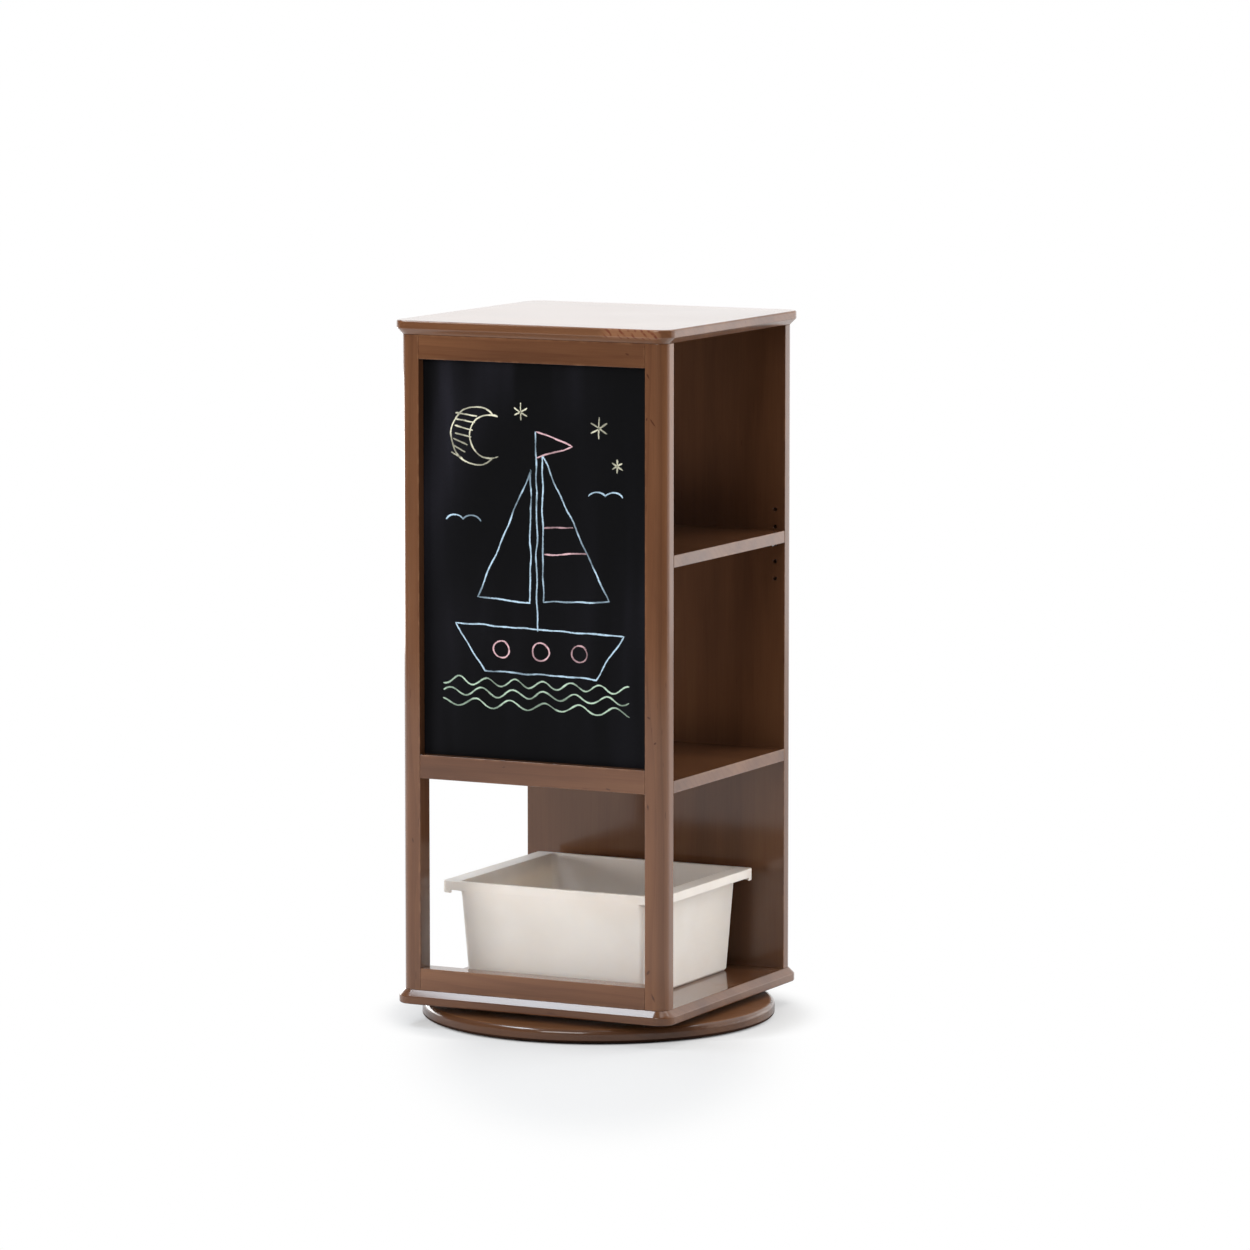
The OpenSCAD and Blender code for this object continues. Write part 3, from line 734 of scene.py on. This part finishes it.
def drawing():
    """Lines by colour, as [x, z] points in metres before DRAWING_SCALE."""
    sails = [
        polyline([(0.008, 0.106), (0.088, -0.048), (0.009, -0.052), (0.008, 0.106)]),
        polyline([(-0.006, 0.09), (-0.07, -0.05), (-0.007, -0.054), (-0.006, 0.09)]),
        polyline([(0.0, 0.132), (0.002, -0.084)]),
    ]
    hull = [polyline([(-0.098, -0.08), (0.106, -0.084), (0.072, -0.132), (-0.062, -0.13),
                      (-0.098, -0.08)])]
    gulls = [arc((x + side * 0.01, z), 0.011, 20, 160, 0.7)
             for x, z in ((-0.088, 0.03), (0.084, 0.062)) for side in (-1, 1)]
    stripes = [polyline([(0.01, 0.028), (0.046, 0.03)]), polyline([(0.01, 0.0), (0.062, 0.002)])]
    pennant = [polyline([(0.001, 0.132), (0.044, 0.117), (0.001, 0.103)])]
    ports = [arc((x, -0.106), 0.0095, 40, 420) for x in (-0.042, 0.006, 0.052)]
    moon = [arc((-0.072, 0.124), 0.031, 50, 310), arc((-0.056, 0.124), 0.024, 66, 294)]
    hatch = [polyline([(-0.102 + 0.001 * i, 0.106 + 0.007 * i),
                       (-0.088 + 0.003 * i, 0.098 + 0.008 * i)]) for i in range(7)]
    stars = star(-0.018, 0.152, 0.009) + star(0.076, 0.138, 0.011) + star(0.098, 0.098, 0.007)
    water = [wave(-0.113, 0.112, -0.142 - 0.012 * i, 0.0045, 0.034 + 0.004 * i) for i in range(3)]
    return {"blue": (BLUE, sails + hull + gulls), "pink": (PINK, stripes + pennant + ports),
            "yellow": (YELLOW, moon + hatch + stars), "green": (GREEN, water)}


# An unsteady hand: how far the line shakes, and the steps of the noise from point to point,
# from line to line, and from sideways to up and down
SHAKE = 0.0022
SHAKE_STEPS = (0.11, 7.3, 19.0)


def shaken(points, seed):
    """The same line, drawn with an unsteady hand."""
    def shake(i, channel):
        steps = zip((i, seed, channel), SHAKE_STEPS)
        return noise.noise(Vector([count * step for count, step in steps])) * SHAKE
    return [p + Vector((shake(i, 0), shake(i, 1))) for i, p in enumerate(points)]


CHALK_WIDTH = 0.0024
CHALK_RISE = 0.00015
# The width changes by this share, with these steps of the noise from point to point and from
# line to line, and a line's ends are narrower
WIDTH_CHANGE = 0.35
WIDTH_STEPS = (0.23, 3.1)
WIDTH_CHANNEL = 5.0
END_TAPER = 0.6
# A ribbon's corners: the share of half its width, and of its rise
RIBBON = ((-1, 0), (-0.6, 1), (0.6, 1), (1, 0))


def add_line(mesh, uv, points, seed, middle, face_y):
    """One closed, flat ribbon along the points, on the face of the board."""
    rows = []
    for i, p in enumerate(points):
        before, after = points[max(i - 1, 0)], points[min(i + 1, len(points) - 1)]
        along = (after - before).normalized()
        side = Vector((-along.y, along.x))
        at = Vector((i * WIDTH_STEPS[0], seed * WIDTH_STEPS[1], WIDTH_CHANNEL))
        press = 1 + WIDTH_CHANGE * noise.noise(at)
        taper = END_TAPER if i in (0, len(points) - 1) else 1.0
        half = CHALK_WIDTH / 2 * press * taper
        row = []
        for share, rise in RIBBON:
            corner = p + side * half * share
            row.append(mesh.verts.new(
                (middle.x + corner.x, face_y - CHALK_RISE * rise, middle.z + corner.y)))
        rows.append(row)

    def face(corners, values):
        made = mesh.faces.new(corners)
        for loop, value in zip(made.loops, values):
            loop[uv].uv = (0.0, value)

    across = [(1 + share) / 2 for share, rise in RIBBON]
    for row, after in zip(rows, rows[1:]):
        for a in range(len(RIBBON)):
            b = (a + 1) % len(RIBBON)
            face((row[a], after[a], after[b], row[b]), (across[a], across[a], across[b], across[b]))
    face(rows[0], across)
    face(rows[-1][::-1], across[::-1])


def draw_chalk():
    low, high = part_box("chalkboard")
    middle = (low + high) / 2 + Vector((0, 0, DRAWING_LIFT))
    for name, (colour, lines) in drawing().items():
        mesh = bmesh.new()
        uv = mesh.loops.layers.uv.new("line")
        for seed, points in enumerate(lines):
            large = [point * DRAWING_SCALE for point in points]
            add_line(mesh, uv, shaken(large, seed), seed, middle, low.y)
        bmesh.ops.recalc_face_normals(mesh, faces=mesh.faces)
        data = bpy.data.meshes.new("chalk_" + name)
        mesh.to_mesh(data)
        mesh.free()
        data.materials.append(chalk("chalk_" + name, colour))
        piece = bpy.data.objects.new("chalk_" + name, data)
        scene.collection.objects.link(piece)
        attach(piece, "carcass")


# Floor, world and lamps

FLOOR_RADIUS = 3.6
FLOOR_SEGMENTS = 96
# How pale the floor is for the light that it throws back, and to the camera
FLOOR_BOUNCE = 0.5
FLOOR_PALE = 0.58
# The cast shadow shows in an ellipse before the object and in a narrow ring round the disc
SHADOW_DEPTH = 0.55
SHADOW_MIDDLE = (0.135, -0.27, 0.0)
SHADOW_SIZE = (0.3, 0.72, 1.0)
SHADOW_FADE = (0.36, 1.0)
SHADOW_RING = (0.23, 0.32)
# Under the disc the shadow is whole
CONTACT = (0.222, 0.231)
# Reflections show the shaded floor near this point, and white further out
MIRRORED_MIDDLE = (0.15, -0.2, 0.0)
MIRRORED_SHADE = (0.38, 0.62)


def ray_kind(look, *kinds):
    """1 for rays of any of these kinds, else 0."""
    outputs = [look.add("LightPath", {}, "Is %s Ray" % kind) for kind in kinds]
    total = outputs[0]
    for output in outputs[1:]:
        total = look.math("MAXIMUM", total, output)
    return total


def floor_material():
    """Pale, with the shadow near the object, and white further out."""
    look = Look("pale_floor", {})
    look.nodes.remove(look.shader)
    place = look.place()
    from_middle = look.length(place)
    turn = (0.0, 0.0, math.radians(CAMERA_TURN))
    before = look.span(look.ellipsoid(place, SHADOW_MIDDLE, turn, SHADOW_SIZE), *SHADOW_FADE)
    clear = look.math("MINIMUM", before, look.span(from_middle, *SHADOW_RING))
    shadow_white = look.span(from_middle, *CONTACT, 0.0, 1 - SHADOW_DEPTH)
    seen_white = look.span(clear, 0.0, 1.0, shadow_white, 1.0)
    apart = look.length(look.vector("SUBTRACT", place, MIRRORED_MIDDLE))
    mirrored_white = look.times(ray_kind(look, "Glossy"), look.span(apart, *MIRRORED_SHADE))
    seen = ray_kind(look, "Camera", "Transmission")
    pale = look.blend(seen, grey(FLOOR_BOUNCE), grey(FLOOR_PALE))
    surface = look.add("MixShader", {
        0: look.number(seen, mirrored_white, seen_white),
        1: look.add("BsdfDiffuse", {"Color": pale}),
        2: look.add("Emission", {"Strength": 1.0})})
    look.put(look.nodes["Material Output"].inputs["Surface"], surface)
    return look.material


def make_floor():
    mesh = bmesh.new()
    bmesh.ops.create_circle(mesh, cap_ends=True, segments=FLOOR_SEGMENTS, radius=FLOOR_RADIUS)
    data = bpy.data.meshes.new("floor")
    mesh.to_mesh(data)
    mesh.free()
    data.materials.append(floor_material())
    floor = bpy.data.objects.new("floor", data)
    scene.collection.objects.link(floor)


# The world's strength as a light, and in reflections before and behind the object
WORLD_FILL = 0.33
STUDIO_FRONT = 0.04
STUDIO_BACK = 1.0
BACKDROP_EDGE = (0.2, 0.45)


def make_world():
    """White to the camera. Reflections show a white backdrop behind and a dim studio in front."""
    world = bpy.data.worlds.new("studio")
    look = Nodes(world)
    behind = look.axis(look.add("TexCoord", {}, "Generated"), "Y")
    mirrored = look.span(behind, *BACKDROP_EDGE, STUDIO_FRONT, STUDIO_BACK)
    strength = look.number(ray_kind(look, "Glossy"), WORLD_FILL, mirrored)
    strength = look.number(ray_kind(look, "Camera", "Transmission"), strength, 1.0)
    background = look.nodes["Background"]
    look.put(background.inputs["Color"], grey(1.0))
    look.put(background.inputs["Strength"], strength)
    scene.world = world


WHITE = (1.0, 1.0, 1.0)
COOL = (0.82, 0.91, 1.0)
# Each lamp: place, width and height, power in watts, colour, the point that it faces,
# and whether it shows in reflections
LAMPS = {
    "strip": ((-1.1, -0.5, 2.2), (1.3, 0.45), 23.5, COOL, (0.0, -0.2, 0.05), True),
    "overhead": ((0.2, 0.5, 2.5), (2.0, 2.0), 26.0, WHITE, (0.0, 0.0, 0.0), True),
    "front": ((0.1, -2.7, 1.9), (1.5, 1.3), 37.0, WHITE, (0.0, 0.0, 0.4), True),
    "low_left": ((-1.35, -1.3, 0.3), (0.8, 0.4), 16.5, WHITE, (0.0, -0.2, 0.2), False),
    "right": ((2.3, 1.7, 1.9), (2.6, 2.4), 66.0, WHITE, (0.0, 0.0, 0.4), False),
    "low_right": ((2.0, 0.8, 0.22), (0.8, 0.4), 13.0, WHITE, (0.0, 0.0, 0.4), False),
    "rim": ((-1.9, 0.85, 0.46), (1.6, 0.45), 13.0, WHITE, (0.0, 0.0, 0.02), True),
    "panel_left": ((-1.67, 3.3, 1.38), (2.2, 1.4), 1.5, WHITE, (0.0, 0.0, 0.9), True),
    "panel_right": ((1.8, 3.3, 0.65), (2.2, 1.2), 6.0, WHITE, (0.2, 0.0, 0.6), True),
}


def make_lamps():
    for name, (place, size, power, colour, target, mirrored) in LAMPS.items():
        data = bpy.data.lights.new(name, "AREA")
        data.shape = "RECTANGLE"
        data.size, data.size_y = size
        data.energy = power
        data.color = colour
        lamp = bpy.data.objects.new(name, data)
        lamp.location = place
        lamp.rotation_euler = (Vector(target) - Vector(place)).to_track_quat("-Z", "Y").to_euler()
        lamp.visible_camera = False
        lamp.visible_glossy = mirrored
        scene.collection.objects.link(lamp)


make_camera()
dress_all()
ease_edges()
draw_chalk()
make_floor()
make_world()
make_lamps()
